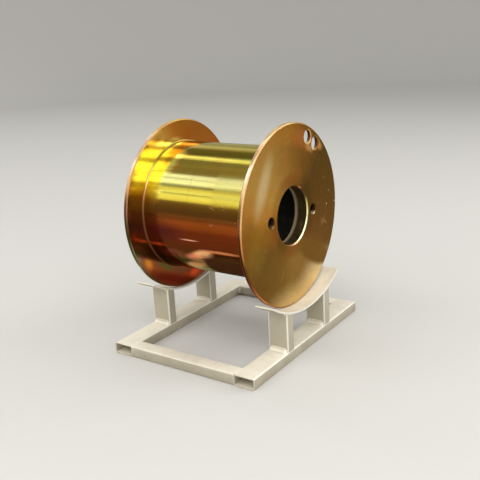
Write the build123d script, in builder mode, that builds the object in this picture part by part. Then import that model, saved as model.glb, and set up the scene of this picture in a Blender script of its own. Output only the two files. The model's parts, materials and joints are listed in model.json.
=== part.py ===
from build123d import *
from math import asin, degrees
import os

# Steel cable drum lying on its painted welded cradle. Millimetres, +Z up.
# The drum's axis runs along X. Left is -X and right is +X, seen from the front, -Y.
# The origin is on the floor, under the middle of the drum.

# Drum
barrel_diameter = 296.0
barrel_wall = 8.0
barrel_weld_leg = 4.0
winding_width = 288.0
winding_depth = 52.0
flange_thickness = 10.0
flange_edge_chamfer = 2.5

# Bore, with the hub ring that lengthens it behind each flange
bore_diameter = 127.0
bore_chamfer = 2.5
hub_wall = 11.5
hub_depth = 24.0
hub_chamfer = 2.0

# Two drive holes in each flange, just outside the hub ring
drive_hole_diameter = 24.0
drive_hole_chamfer = 1.0
drive_hole_gap = 1.5
drive_hole_turn = -3.5

# Two cable lead-out holes in the right flange, halfway up the winding space
lead_hole_diameter = 30.0
lead_hole_lip = 2.0
lead_hole_web = 3.5
lead_hole_turn = 59.0

# Cradle, welded from rectangular tube
tube_width = 50.0
tube_height = 25.0
tube_wall = 2.5
tube_corner = 4.0
rail_width = 35.0
cradle_depth = 460.0
post_spacing = 164.0
foot_weld_leg = 9.0

# Curved saddle plate under each flange
saddle_width = 50.0
saddle_thickness = 4.0
saddle_chord = 280.0
saddle_corner = 3.0
saddle_height = 99.0
saddle_ease = 55.0
saddle_overhang = 13.5

# Clearances: the drum on its saddles, and the root gap of the welds under them
seat_clearance = 0.25
weld_root_gap = 0.3

# Places worked out from the sizes above
barrel_radius = barrel_diameter / 2
flange_radius = barrel_radius + winding_depth
bore_radius = bore_diameter / 2
hub_radius = bore_radius + hub_wall
half_winding = winding_width / 2
drive_circle = hub_radius + drive_hole_gap + drive_hole_diameter / 2
lead_circle = (barrel_radius + barrel_weld_leg + flange_radius) / 2
lead_spacing = lead_hole_diameter + 2 * lead_hole_lip + lead_hole_web
lead_step = 2 * degrees(asin(lead_spacing / 2 / lead_circle))
axis_height = saddle_height + seat_clearance + flange_radius
saddle_radius = flange_radius + saddle_ease
saddle_centre = saddle_height + saddle_radius
saddle_half_angle = degrees(asin(saddle_chord / 2 / saddle_radius))
saddle_under = saddle_radius + saddle_thickness
saddle_place = half_winding + flange_thickness / 2 + saddle_overhang
rail_length = 2 * saddle_place - tube_width
rail_place = (cradle_depth - rail_width) / 2
drum_axis = Axis((0, 0, axis_height), (1, 0, 0))
sides = {"left": -1, "right": 1}
rows = {"front": -1, "rear": 1}


def save(piece, name):
    """Labels a finished piece and writes it as a file of that name."""
    piece.label = name
    export_step(piece, f"parts/{name}.step")


def upright_plane(x):
    """A plane across the drum at x: local x is the cradle's Y, local y is up, centred on the axis."""
    return Plane(origin=(x, 0, axis_height), x_dir=(0, 1, 0), z_dir=(1, 0, 0))


def tube_section(width, height):
    """The closed outline of a rectangular tube, with its hollow cut out."""
    RectangleRounded(width, height, tube_corner)
    inner_corner = max(tube_corner - tube_wall, tube_wall / 5)
    RectangleRounded(width - 2 * tube_wall, height - 2 * tube_wall, inner_corner, mode=Mode.SUBTRACT)


def outer_edges(edges, side):
    """Of a hole's edges, the round ones on the face that points away from the drum's middle."""
    by_place = edges.filter_by(GeomType.CIRCLE).group_by(Axis.X)
    return by_place[-1] if side > 0 else by_place[0]


os.makedirs("parts", exist_ok=True)

# Flanges: flat discs with a chamfered rim and bore, and the drive holes
for side_name, side in sides.items():
    inner_face = upright_plane(side * half_winding)
    with BuildPart() as flange:
        with BuildSketch(inner_face):
            Circle(flange_radius)
        extrude(amount=side * flange_thickness)
        chamfer(flange.edges().filter_by(GeomType.CIRCLE), flange_edge_chamfer)
        with Locations(inner_face):
            Hole(bore_radius)
        chamfer(outer_edges(flange.edges(Select.LAST), side), bore_chamfer)
        with Locations(inner_face):
            with PolarLocations(drive_circle, 2, start_angle=drive_hole_turn):
                Hole(drive_hole_diameter / 2)
        chamfer(outer_edges(flange.edges(Select.LAST), side), drive_hole_chamfer)
        if side_name == "right":
            with Locations(inner_face):
                with PolarLocations(lead_circle, 2, lead_hole_turn - lead_step / 2, 2 * lead_step):
                    Hole(lead_hole_diameter / 2)
            chamfer(flange.edges(Select.LAST).filter_by(GeomType.CIRCLE), lead_hole_lip)
    save(flange.part, f"{side_name}_flange")

# Barrel: a tube between the flanges, flaring into the weld at each end
with BuildPart() as barrel:
    with BuildSketch(Plane(origin=(0, 0, axis_height), x_dir=(1, 0, 0), z_dir=(0, -1, 0))):
        with BuildLine():
            half_wall_end = half_winding - barrel_weld_leg
            Polyline(
                (-half_winding, barrel_radius - barrel_wall),
                (half_winding, barrel_radius - barrel_wall),
                (half_winding, barrel_radius + barrel_weld_leg),
                (half_wall_end, barrel_radius),
                (-half_wall_end, barrel_radius),
                (-half_winding, barrel_radius + barrel_weld_leg),
                close=True,
            )
        make_face()
    revolve(axis=drum_axis)
save(barrel.part, "barrel")

# Hub rings: they carry the bore on, behind each flange
for side_name, side in sides.items():
    with BuildPart() as hub_ring:
        with BuildSketch(upright_plane(side * half_winding)):
            Circle(hub_radius)
            Circle(bore_radius, mode=Mode.SUBTRACT)
        extrude(amount=-side * hub_depth)
        chamfer(outer_edges(hub_ring.edges(), -side), hub_chamfer)
    save(hub_ring.part, f"{side_name}_hub_ring")

# Cross beams: one flat tube on the floor under each saddle, open at its ends
for side_name, side in sides.items():
    with BuildPart() as cross_beam:
        beam_middle = Plane(
            origin=(side * saddle_place, 0, tube_height / 2), x_dir=(1, 0, 0), z_dir=(0, -1, 0)
        )
        with BuildSketch(beam_middle):
            tube_section(tube_width, tube_height)
        extrude(amount=cradle_depth / 2, both=True)
    save(cross_beam.part, f"{side_name}_cross_beam")

# Rails: they join the two cross beams at the front and at the rear
for row_name, row in rows.items():
    with BuildPart() as rail:
        rail_middle = Plane(
            origin=(0, row * rail_place, tube_height / 2), x_dir=(0, 1, 0), z_dir=(1, 0, 0)
        )
        with BuildSketch(rail_middle):
            tube_section(rail_width, tube_height)
        extrude(amount=rail_length / 2, both=True)
    save(rail.part, f"{row_name}_rail")

# Posts: two on each cross beam, coped to the underside of the saddle
post_reach = saddle_centre - tube_height
for side_name, side in sides.items():
    for row_name, row in rows.items():
        post_x = side * saddle_place
        post_y = row * post_spacing / 2
        with BuildPart() as post:
            with BuildSketch(Plane(origin=(post_x, post_y, tube_height))):
                tube_section(tube_width, tube_height)
            extrude(amount=post_reach)
            cope = Plane(origin=(post_x, 0, saddle_centre), x_dir=(0, 1, 0), z_dir=(1, 0, 0))
            with BuildSketch(cope):
                Circle(saddle_under + weld_root_gap)
            extrude(amount=tube_width, both=True, mode=Mode.SUBTRACT)
        save(post.part, f"{side_name}_{row_name}_post")

# Foot welds: a hollow bead across the front and the rear of each post's foot
for side_name, side in sides.items():
    for row_name, row in rows.items():
        for bead_name, bead in rows.items():
            foot_y = row * post_spacing / 2 + bead * tube_height / 2
            foot = Plane(
                origin=(side * saddle_place, foot_y, tube_height), x_dir=(0, 1, 0), z_dir=(1, 0, 0)
            )
            with BuildPart() as foot_weld:
                with BuildSketch(foot):
                    with BuildLine():
                        Polyline((0, foot_weld_leg), (0, 0), (bead * foot_weld_leg, 0))
                        bead_start = 270 if bead < 0 else 180
                        CenterArc((bead * foot_weld_leg, foot_weld_leg), foot_weld_leg, bead_start, 90)
                    make_face()
                extrude(amount=tube_width / 2 - tube_corner, both=True)
            save(foot_weld.part, f"{side_name}_{row_name}_post_{bead_name}_weld")

# Saddles: curved plates, a little flatter than the flange that lies in them
for side_name, side in sides.items():
    with BuildPart() as saddle:
        saddle_middle = Plane(
            origin=(side * saddle_place, 0, saddle_centre), x_dir=(0, 1, 0), z_dir=(1, 0, 0)
        )
        with BuildSketch(saddle_middle):
            with BuildLine():
                start_angle = 270 - saddle_half_angle
                sweep_angle = 2 * saddle_half_angle
                upper = CenterArc((0, 0), saddle_radius, start_angle, sweep_angle)
                lower = CenterArc((0, 0), saddle_under, start_angle, sweep_angle)
                Line(upper @ 0, lower @ 0)
                Line(upper @ 1, lower @ 1)
            make_face()
        extrude(amount=saddle_width / 2, both=True)
        fillet(saddle.edges().group_by(SortBy.LENGTH)[0], saddle_corner)
    save(saddle.part, f"{side_name}_saddle")
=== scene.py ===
"""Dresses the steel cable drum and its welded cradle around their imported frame, and sets the stage."""

import json
import math

import bmesh
import bpy
import numpy as np
from mathutils import Matrix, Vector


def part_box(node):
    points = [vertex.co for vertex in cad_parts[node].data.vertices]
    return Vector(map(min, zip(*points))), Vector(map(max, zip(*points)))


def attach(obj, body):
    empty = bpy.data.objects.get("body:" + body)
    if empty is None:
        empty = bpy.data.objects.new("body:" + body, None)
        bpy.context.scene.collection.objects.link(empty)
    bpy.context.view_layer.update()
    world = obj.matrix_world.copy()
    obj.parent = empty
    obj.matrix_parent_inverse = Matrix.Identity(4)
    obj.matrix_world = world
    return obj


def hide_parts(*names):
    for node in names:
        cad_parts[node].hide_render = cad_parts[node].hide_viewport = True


bl_info = {
    "name": "Steel Cable Drum",
    "version": (1, 0, 0),
    "blender": (4, 5, 0),
    "location": "View3D > Sidebar > Cable Drum",
    "description": "Builds the finished surfaces of a yellow-zinc cable drum and its painted cradle",
    "category": "Add Mesh",
}

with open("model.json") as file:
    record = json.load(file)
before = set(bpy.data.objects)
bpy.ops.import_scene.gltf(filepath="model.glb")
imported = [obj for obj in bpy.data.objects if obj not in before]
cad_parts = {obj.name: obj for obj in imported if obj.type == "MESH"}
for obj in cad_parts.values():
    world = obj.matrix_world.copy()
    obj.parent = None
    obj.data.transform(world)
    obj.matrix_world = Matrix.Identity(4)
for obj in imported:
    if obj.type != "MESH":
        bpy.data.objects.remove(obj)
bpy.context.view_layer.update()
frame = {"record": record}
MOUNTS = {mount["name"]: mount for mount in frame["record"]["mounts"]}
OPENINGS = {opening["name"]: np.array(opening["box_m"]) for opening in frame["record"]["physics"]["openings"]}
MM = 0.001
SIDES = {"left": -1, "right": 1}
ROWS = {"front": -1, "rear": 1}


# Places and sizes read from the frame, in metres
def extent(node):
    """Lowest corner, highest corner and size of a CAD node."""
    low, high = (np.array(corner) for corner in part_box(node))
    return low, high, high - low


FLANGE_LOW, FLANGE_HIGH, FLANGE_SIZE = extent("right_flange")
BARREL_HIGH, BARREL_SIZE = extent("barrel")[1:]
HUB_LOW, HUB_HIGH, HUB_SIZE = extent("right_hub_ring")
BEAM_LOW, BEAM_HIGH, BEAM_SIZE = extent("right_cross_beam")
RAIL_LOW, RAIL_HIGH, RAIL_SIZE = extent("rear_rail")
POST_LOW, POST_HIGH, POST_SIZE = extent("right_rear_post")
SADDLE_LOW, _, SADDLE_SIZE = extent("right_saddle")
WELD_SIZE = extent("right_rear_post_rear_weld")[2]
INNER_X, OUTER_X = FLANGE_LOW[0], FLANGE_HIGH[0]
FLANGE_RADIUS = FLANGE_SIZE[2] / 2
AXIS_HEIGHT = MOUNTS["right_bore"]["pos_m"][2]
BORE_RADIUS = MOUNTS["right_bore"]["dims"]["r_mm"] * MM
HUB_RADIUS = HUB_SIZE[2] / 2
DRIVE_RADIUS = MOUNTS["right_drive_holes"]["dims"]["hole_r_mm"] * MM
LEAD_RADIUS = MOUNTS["lead_hole_1"]["dims"]["r_mm"] * MM
BEAM_X = (BEAM_LOW[0] + BEAM_HIGH[0]) / 2
BEAM_TOP = BEAM_HIGH[2]
POST_Y = (POST_LOW[1] + POST_HIGH[1]) / 2
RAIL_Y = (RAIL_LOW[1] + RAIL_HIGH[1]) / 2


# What a user may change
def linear(screen):
    """A colour given in screen values from 0 to 255, as the linear shares that a shader uses."""
    part = np.array(screen, float) / 255
    return tuple(np.where(part <= 0.04045, part / 12.92, ((part + 0.055) / 1.055) ** 2.4).tolist())


def colour_value(name, screen, description):
    return bpy.props.FloatVectorProperty(
        name=name, description=description, default=linear(screen), size=3, subtype="COLOR", min=0, max=1
    )


def length_value(name, default, description):
    return bpy.props.FloatProperty(name=name, description=description, default=default, min=0, unit="LENGTH")


def share_value(name, default, description):
    return bpy.props.FloatProperty(
        name=name, description=description, default=default, min=0, max=1, subtype="FACTOR"
    )


class DrumLook(bpy.types.PropertyGroup):
    """Edges and finish of the drum."""

    edge_chamfer: length_value("Edge chamfer", 0.0025, "Chamfer round the rim and the bore")
    edge_softness: length_value("Edge softness", 0.0008, "Rounding where a chamfer meets a face")
    drive_chamfer: length_value("Drive hole chamfer", 0.001, "Chamfer at the mouth of a drive hole")
    lead_lip: length_value("Lead hole lip", 0.002, "Chamfer at both mouths of a lead-out hole")
    mouth_softness: length_value("Mouth softness", 0.0004, "Rounding of the mouths of the small holes")
    hub_chamfer: length_value("Hub chamfer", 0.002, "Chamfer at the inner end of the hub ring")
    barrel_wall: length_value("Barrel wall", 0.008, "Thickness of the barrel's wall")
    barrel_weld: length_value("Barrel weld", 0.004, "Leg of the weld between barrel and flange")
    barrel_roughness: share_value("Barrel roughness", 0.13, "Roughness of the polished barrel")
    face_roughness: share_value("Face roughness", 0.24, "Roughness of the turned flange faces")
    glance: colour_value("Glancing tint", (255, 250, 200), "Tint that the zinc takes on at a glancing view")


class CradleLook(bpy.types.PropertyGroup):
    """Edges, welds and paint of the cradle."""

    tube_wall: length_value("Tube wall", 0.0025, "Thickness of the tube's wall")
    tube_corner: length_value("Tube corner", 0.004, "Outer radius of the tube's corners")
    cut_softness: length_value("Cut softness", 0.0005, "Rounding of the sawn ends of a tube")
    cope_gap: length_value("Cope gap", 0.0003, "Root gap between a post and its saddle")
    saddle_radius: length_value("Saddle radius", 0.255, "Radius of a saddle's upper face")
    saddle_thickness: length_value("Saddle thickness", 0.004, "Thickness of a saddle plate")
    saddle_corner: length_value("Saddle corner", 0.003, "Radius of the corners of a saddle plate")
    saddle_softness: length_value("Saddle softness", 0.0009, "Rounding of the long edges of a saddle plate")
    seam_leg: length_value("Seam leg", 0.0045, "Leg of the small weld beads")
    ripple_pitch: length_value("Ripple pitch", 0.0042, "Distance between the ripples of a weld bead")
    # The tone facing up and the greyer upright tone are painted light and shade on one paint
    paint: colour_value("Paint", (236, 227, 205), "Tone of the off-white paint where it faces up")
    shaded_side_paint: colour_value("Thin paint", (181, 173, 152), "Greyer tone of the paint on upright faces")
    grime: colour_value("Grime", (120, 104, 84), "Tone of the dirt that gathers on the paint")


class StageLook(bpy.types.PropertyGroup):
    """Floor and light."""

    floor_tone: colour_value("Floor tone", (208, 206, 200), "Tone of the plain floor")
    surround: bpy.props.FloatProperty(
        name="Surround", description="Strength of the even light from all round", default=0.5, min=0
    )
    lamp_radiance: bpy.props.FloatProperty(
        name="Lamp brightness", description="Brightness of the long soft lamps", default=2.2, min=0
    )


# Surfaces worked out as arrays
FACING = "facing"
MERGE_DISTANCE = 0.002 * MM
BARREL_STEPS, HUB_STEPS, FLOOR_STEPS = 288, 192, 96
FINE_ARC_STEPS, WELD_ARC_STEPS, FLOOR_ARC_STEPS = 3, 8, 24
PIECE_SHARP_DEGREES, BEAD_SHARP_DEGREES = 38, 60


def rounded_chain(corners, radii, steps=4):
    """An open outline whose inner corners are arcs.

    An arc touches both sides at radius / tan(half the corner's angle) from the corner. Its points stand
    at equal turns about its centre, which lies at radius / sin(half the angle) from the corner."""
    corners = np.asarray(corners, float)
    arcs = []
    for before, corner, after, radius in zip(corners[:-2], corners[1:-1], corners[2:], radii):
        to_before = (before - corner) / np.linalg.norm(before - corner)
        to_after = (after - corner) / np.linalg.norm(after - corner)
        half_angle = math.acos(np.clip(to_before @ to_after, -1, 1)) / 2
        middle = (to_before + to_after) / np.linalg.norm(to_before + to_after)
        centre = corner + middle * radius / math.sin(half_angle)
        start = corner + to_before * radius / math.tan(half_angle) - centre
        end = corner + to_after * radius / math.tan(half_angle) - centre
        turn = math.atan2(start[0] * end[1] - start[1] * end[0], start @ end)
        angles = math.atan2(start[1], start[0]) + np.linspace(0, turn, steps + 1)
        arcs.append(centre + radius * np.column_stack([np.cos(angles), np.sin(angles)]))
    return np.concatenate(arcs)


def rounded_outline(corners, radii, steps=4):
    """A closed outline with rounded corners: the open one, carried once round."""
    return rounded_chain([corners[-1], *corners, corners[0]], radii, steps)


def rounded_loops(width, height, corner, depths, steps=5):
    """Rounded rectangles at several depths inside the outer one, as an array of depth, point and (u, v).

    They share the centres of their corners, so a corner's radius is the outer radius less the depth."""
    quarters = np.arange(4)[:, None] * math.pi / 2
    angles = quarters + np.linspace(0, math.pi / 2, steps + 1)
    directions = np.stack([np.cos(angles), np.sin(angles)], -1)
    signs = np.array([(1, 1), (-1, 1), (-1, -1), (1, -1)])
    centres = (signs * (width / 2 - corner, height / 2 - corner))[:, None]
    radii = corner - np.asarray(depths, float)
    return (centres + radii[:, None, None, None] * directions).reshape(len(radii), -1, 2)


def grid_faces(rows, columns, close_rows=False, close_columns=False):
    """The quads of a grid of points numbered row by row, which may join up at either end."""
    row = np.arange(rows if close_rows else rows - 1)[:, None]
    column = np.arange(columns if close_columns else columns - 1)[None, :]
    next_row, next_column = (row + 1) % rows, (column + 1) % columns
    corners = (
        row * columns + column,
        next_row * columns + column,
        next_row * columns + next_column,
        row * columns + next_column,
    )
    return np.stack(np.broadcast_arrays(*corners), -1).reshape(-1, 4)


def full_circle(steps):
    """Even angles once round."""
    return np.linspace(0, 2 * math.pi, steps, endpoint=False)


def spun(outline, angles):
    """Points of an outline (x, radius) spun about the drum's axis: y = -radius sin, z = axis + radius cos."""
    x, radius = outline[:, :1], outline[:, 1:]
    grid = np.broadcast_arrays(x, -radius * np.sin(angles), AXIS_HEIGHT + radius * np.cos(angles))
    return np.stack(grid, -1).reshape(-1, 3)


class Shell:
    """Grids of points that are gathered, merged where they meet and made into one piece."""

    def __init__(self):
        self.points, self.faces, self.kinds, self.count = [], [], [], 0

    def add(self, points, faces, kind=0):
        points = np.asarray(points, float).reshape(-1, 3)
        self.points.append(points)
        self.faces += (np.asarray(faces) + self.count).tolist()
        self.kinds += np.broadcast_to(kind, len(faces)).tolist()
        self.count += len(points)

    def piece(self, name, materials, slot, nodes=(), sharp_degrees=PIECE_SHARP_DEGREES):
        """The finished object. It rides on the one body, and stands for the CAD nodes that it is given."""
        mesh = bpy.data.meshes.new(name)
        mesh.from_pydata(np.concatenate(self.points).tolist(), [], self.faces)
        mesh.polygons.foreach_set("material_index", self.kinds)
        build = bmesh.new()
        build.from_mesh(mesh)
        bmesh.ops.remove_doubles(build, verts=build.verts, dist=MERGE_DISTANCE)
        bmesh.ops.recalc_face_normals(build, faces=build.faces)
        build.to_mesh(mesh)
        build.free()
        mesh.shade_smooth()
        mesh.set_sharp_from_angle(angle=math.radians(sharp_degrees))
        normals = np.empty(3 * len(mesh.vertices), np.float32)
        mesh.vertex_normals.foreach_get("vector", normals)
        mesh.attributes.new(FACING, "FLOAT_VECTOR", "POINT").data.foreach_set("vector", normals)
        for material in materials:
            mesh.materials.append(material)
        made = bpy.data.objects.new(name, mesh)
        bpy.context.scene.collection.objects.link(made)
        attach(made, "root")
        if nodes:
            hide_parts(*nodes)
        return made


# Drum
PATCH_MARGIN, FACE_BORDER, BEYOND_MOUTH = 3 * MM, 0.5 * MM, 10 * MM


class Hole:
    """A round hole of a flange, with the patch of the face that is woven round it."""

    def __init__(self, y, z, radius, chamfers, reach, sector=None):
        self.centre = np.array([y, z])
        self.radius, self.chamfers, self.reach = radius, chamfers, reach
        self.circle = math.hypot(y, z - AXIS_HEIGHT)
        self.turn = math.atan2(-y, z - AXIS_HEIGHT) % (2 * math.pi)
        self.sector = sector or math.asin(reach / self.circle)


def drive_holes(look):
    """The two drive holes, at the middles of the openings that the record gives for them."""
    holes = []
    for row in ROWS:
        middle = OPENINGS[f"right_{row}_drive_hole"].mean(0)
        reach = DRIVE_RADIUS + look.drive_chamfer + PATCH_MARGIN
        holes.append(Hole(middle[1], middle[2], DRIVE_RADIUS, (look.drive_chamfer, 0), reach))
    return holes


def lead_holes(look):
    """The two lead-out holes. Their patches share the edge midway between them."""
    places = [MOUNTS[f"lead_hole_{number}"]["pos_m"] for number in (1, 2)]
    turns = [math.atan2(-place[1], place[2] - AXIS_HEIGHT) for place in places]
    sector = abs(turns[1] - turns[0]) / 2
    reach = math.hypot(places[0][1], places[0][2] - AXIS_HEIGHT) * math.sin(sector)
    lips = (look.lead_lip, look.lead_lip)
    return [Hole(place[1], place[2], LEAD_RADIUS, lips, reach, sector) for place in places]


PATCH_STEPS = 14
FACE_TURN_STEP = math.radians(1.8)
FACE_RADIUS_STEP = 9 * MM
WEB_SHARES = (0, 0.06, 0.2, 0.45, 0.7, 1)
CHAMFER_SHARE = 0.97

# Order of the finishes on a flange
FACE, RIM, INNER, BORE, EDGE, HOLE_WALL, BORE_EDGE = range(7)


def stations(breaks, spacing, bands):
    """Values from the first break to the last, about evenly spaced, with PATCH_STEPS steps in each band."""
    breaks = np.unique(np.round(breaks, 9))
    runs = []
    for start, end in zip(breaks[:-1], breaks[1:]):
        middle = (start + end) / 2
        inside = any(low < middle < high for low, high in bands)
        count = PATCH_STEPS if inside else max(1, round((end - start) / spacing))
        runs.append(np.linspace(start, end, count, endpoint=False))
    return np.concatenate([*runs, breaks[-1:]])


def flange_angles(holes):
    """Angles round a flange, closed, in step with the sectors of its holes."""
    bands = [(hole.turn - hole.sector, hole.turn + hole.sector) for hole in holes]
    edges = sorted(edge for band in bands for edge in band)
    return stations([*edges, edges[0] + 2 * math.pi], FACE_TURN_STEP, bands)[:-1]


def pierced_face(shell, x, inner, outer, holes, angles, mouths, kind):
    """A flat ring at x, as a grid of radius and angle, with the cells round each hole left out.

    Rings of points fill the gap: point = mouth + share (edge of the gap - mouth), where the mouth's point
    lies on the hole's circle in the direction of the edge's point. Returns those directions for the wall."""
    bands = sorted({
        (round(hole.circle - hole.reach, 9), round(hole.circle + hole.reach, 9)) for hole in holes
    })
    edges = [inner, inner + FACE_BORDER, outer - FACE_BORDER, outer, *np.ravel(bands)]
    radii = stations(edges, FACE_RADIUS_STEP, bands)
    ring = np.stack([np.full(len(angles), x), -np.sin(angles), np.cos(angles)], -1)
    points = np.repeat(ring[None], len(radii), 0)
    points[:, :, 1:] *= radii[:, None, None]
    points[:, :, 2] += AXIS_HEIGHT
    keep = np.ones((len(radii) - 1, len(angles)), bool)
    directions = []
    for hole, mouth in zip(holes, mouths):
        low = np.abs(radii - (hole.circle - hole.reach)).argmin()
        high = np.abs(radii - (hole.circle + hole.reach)).argmin()
        first = np.abs((angles - hole.turn + hole.sector + math.pi) % (2 * math.pi) - math.pi).argmin()
        columns = np.arange(first, first + PATCH_STEPS + 1) % len(angles)
        keep[low:high, columns[:-1]] = False
        rows = np.arange(low, high + 1)
        edge = np.concatenate([
            points[low, columns[:-1]],
            points[rows[:-1], columns[-1]],
            points[high, columns[:0:-1]],
            points[rows[:0:-1], columns[0]],
        ])[:, 1:]
        way = edge - hole.centre
        way /= np.linalg.norm(way, axis=1)[:, None]
        shares = np.array(WEB_SHARES)[:, None, None]
        start = hole.centre + mouth * way
        web = start + shares * (edge - start)
        web = np.concatenate([np.full(web.shape[:2] + (1,), x), web], -1)
        shell.add(web, grid_faces(len(shares), len(edge), close_columns=True), kind)
        directions.append(way)
    faces = grid_faces(len(radii), len(angles), close_columns=True)
    shell.add(points, faces[keep.ravel()], kind)
    return directions


def hole_outline(hole, inner_x, outer_x, softness):
    """The outline (x, radius) of a hole's wall, with its chamfers softened into the faces."""
    outer_cut, inner_cut = hole.chamfers
    into = math.copysign(1, outer_x - inner_x)
    radius, far = hole.radius, hole.radius + BEYOND_MOUTH
    corners = [(outer_x, far), (outer_x, radius + outer_cut), (outer_x - into * outer_cut, radius)]
    radii = [softness, softness]
    if inner_cut:
        corners += [(inner_x + into * inner_cut, radius), (inner_x, radius + inner_cut), (inner_x, far)]
        radii += [softness, softness]
    else:
        corners += [(inner_x, radius), (inner_x, far)]
        radii += [softness / 2]
    return rounded_chain(corners, radii, FINE_ARC_STEPS)


def flange(side_name, materials):
    """A flange: two pierced faces joined by its rim, its bore and the walls of its holes."""
    look = bpy.context.scene.drum_look
    side = SIDES[side_name]
    inner_x, outer_x = side * INNER_X, side * OUTER_X
    holes = drive_holes(look) + (lead_holes(look) if side_name == "right" else [])
    angles = flange_angles(holes)
    cut, soft, radius = look.edge_chamfer, look.edge_softness, FLANGE_RADIUS
    rim = rounded_chain(
        [
            (outer_x, radius / 2), (outer_x, radius - cut), (outer_x - side * cut, radius),
            (inner_x + side * cut, radius), (inner_x, radius - cut), (inner_x, radius / 2),
        ],
        [soft] * 4,
    )
    bore = rounded_chain(
        [
            (inner_x, radius), (inner_x, BORE_RADIUS), (outer_x - side * cut, BORE_RADIUS),
            (outer_x, BORE_RADIUS + cut), (outer_x, radius),
        ],
        [soft / 8, soft, soft],
    )
    shell = Shell()
    outlines = [hole_outline(hole, inner_x, outer_x, look.mouth_softness) for hole in holes]
    directions = pierced_face(
        shell, outer_x, bore[-1][1], rim[0][1], holes, angles, [line[0][1] for line in outlines], FACE
    )
    mouths = [line[-1][1] for line in outlines]
    pierced_face(shell, inner_x, bore[0][1], rim[-1][1], holes, angles, mouths, INNER)
    for outline, wall_kind, cut_kind in ((rim, RIM, EDGE), (bore, BORE, BORE_EDGE)):
        middle = (outline[:-1, 0] + outline[1:, 0]) / 2
        depth = abs(middle - outer_x)
        if outline is rim:
            depth = np.minimum(depth, abs(middle - inner_x))
        kinds = np.repeat(np.where(depth < CHAMFER_SHARE * cut, cut_kind, wall_kind), len(angles))
        shell.add(spun(outline, angles), grid_faces(len(outline), len(angles), close_columns=True), kinds)
    for hole, outline, way in zip(holes, outlines, directions):
        rings = hole.centre + outline[:, 1, None, None] * way
        x = np.broadcast_to(outline[:, 0, None, None], rings.shape[:2] + (1,))
        wall = grid_faces(len(outline), len(way), close_columns=True)
        lip = abs(outline[:-1, 0] + outline[1:, 0] - 2 * outer_x) / 2 < hole.chamfers[1] * CHAMFER_SHARE
        kinds = np.repeat(np.where(lip, EDGE, HOLE_WALL), len(way))
        shell.add(np.concatenate([x, rings], -1), wall, kinds)
    return shell.piece(f"{side_name}_flange_disc", materials, "yellow_zinc", [f"{side_name}_flange"])


def barrel(materials):
    """The barrel: its closed outline (x, radius), with a hollow arc into each weld, spun about the axis."""
    look = bpy.context.scene.drum_look
    half, leg = BARREL_HIGH[0], look.barrel_weld
    radius = BARREL_SIZE[2] / 2 - leg
    inside = radius - look.barrel_wall
    run = [(-half, radius + 2 * leg), (-half, radius), (half, radius), (half, radius + 2 * leg)]
    skin = rounded_chain(run, [leg] * 2, WELD_ARC_STEPS)
    outline = np.concatenate([[(-half, inside)], skin, [(half, inside)]])
    angles = full_circle(BARREL_STEPS)
    shell = Shell()
    middle = (outline + np.roll(outline, -1, 0)) / 2
    within = middle[:, 1] < radius - look.barrel_wall / 8
    flared = ~within & (np.abs(middle[:, 0]) > half - leg)
    kinds = np.repeat(within + 2 * flared, len(angles))
    shell.add(spun(outline, angles), grid_faces(len(outline), len(angles), True, True), kinds)
    return shell.piece("barrel_tube", materials, "yellow_zinc", ["barrel"])


def hub_ring(side_name, materials):
    """A hub ring: its closed outline (x, radius) spun about the axis."""
    look = bpy.context.scene.drum_look
    side = SIDES[side_name]
    near, far, cut = side * HUB_HIGH[0], side * HUB_LOW[0], look.hub_chamfer
    outline = rounded_outline(
        [
            (near, BORE_RADIUS), (near, HUB_RADIUS), (far + side * cut, HUB_RADIUS),
            (far, HUB_RADIUS - cut), (far, BORE_RADIUS + cut), (far + side * cut, BORE_RADIUS),
        ],
        [look.edge_softness / 4] * 2 + [look.edge_softness] * 4,
    )
    angles = full_circle(HUB_STEPS)
    shell = Shell()
    shell.add(spun(outline, angles), grid_faces(len(outline), len(angles), True, True))
    return shell.piece(f"{side_name}_hub_sleeve", materials, "yellow_zinc", [f"{side_name}_hub_ring"])


# Cradle
SADDLE_END_POINTS, SADDLE_POINTS = 9, 73
BEAD_POINTS, RIPPLE_STEPS = 9, 6
RIPPLE_BOW, NOSE_SHARE, ROOT_SHARE = 0.45, 0.85, 0.06


def tube(name, nodes, place, axes, section, length, materials, top=None):
    """A rectangular tube: the outline (depth, along) of its wall, carried round the rounded rectangle.

    axes gives the world axes of the section's u and v and of the tube's length, and place its middle.
    Where top is given, the far end follows along = top(u, v)."""
    look = bpy.context.scene.cradle_look
    width, height = section
    wall, half = look.tube_wall, length / 2
    corners = [(0, -half), (0, half), (wall, half), (wall, -half)]
    outline = rounded_outline(corners, [look.cut_softness] * 4, FINE_ARC_STEPS)
    loops = rounded_loops(width, height, look.tube_corner, outline[:, 0])
    along = np.repeat(outline[:, 1:], loops.shape[1], 1)
    if top:
        along = np.where(along > 0, along - half + top(loops[..., 0], loops[..., 1]), along)
    points = np.empty(loops.shape[:2] + (3,))
    for axis, value in zip(axes, (loops[..., 0], loops[..., 1], along)):
        points[..., axis] = value + place[axis]
    shell = Shell()
    shell.add(points, grid_faces(*loops.shape[:2], True, True))
    return shell.piece(name, materials, "white_paint", nodes)


def saddle_place(arc, radius, look):
    """(y, z) on a circle about the saddle's centre, at an angle from straight down towards the rear."""
    centre = SADDLE_LOW[2] + look.saddle_thickness + look.saddle_radius
    return radius * np.sin(arc), centre - radius * np.cos(arc)


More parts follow.
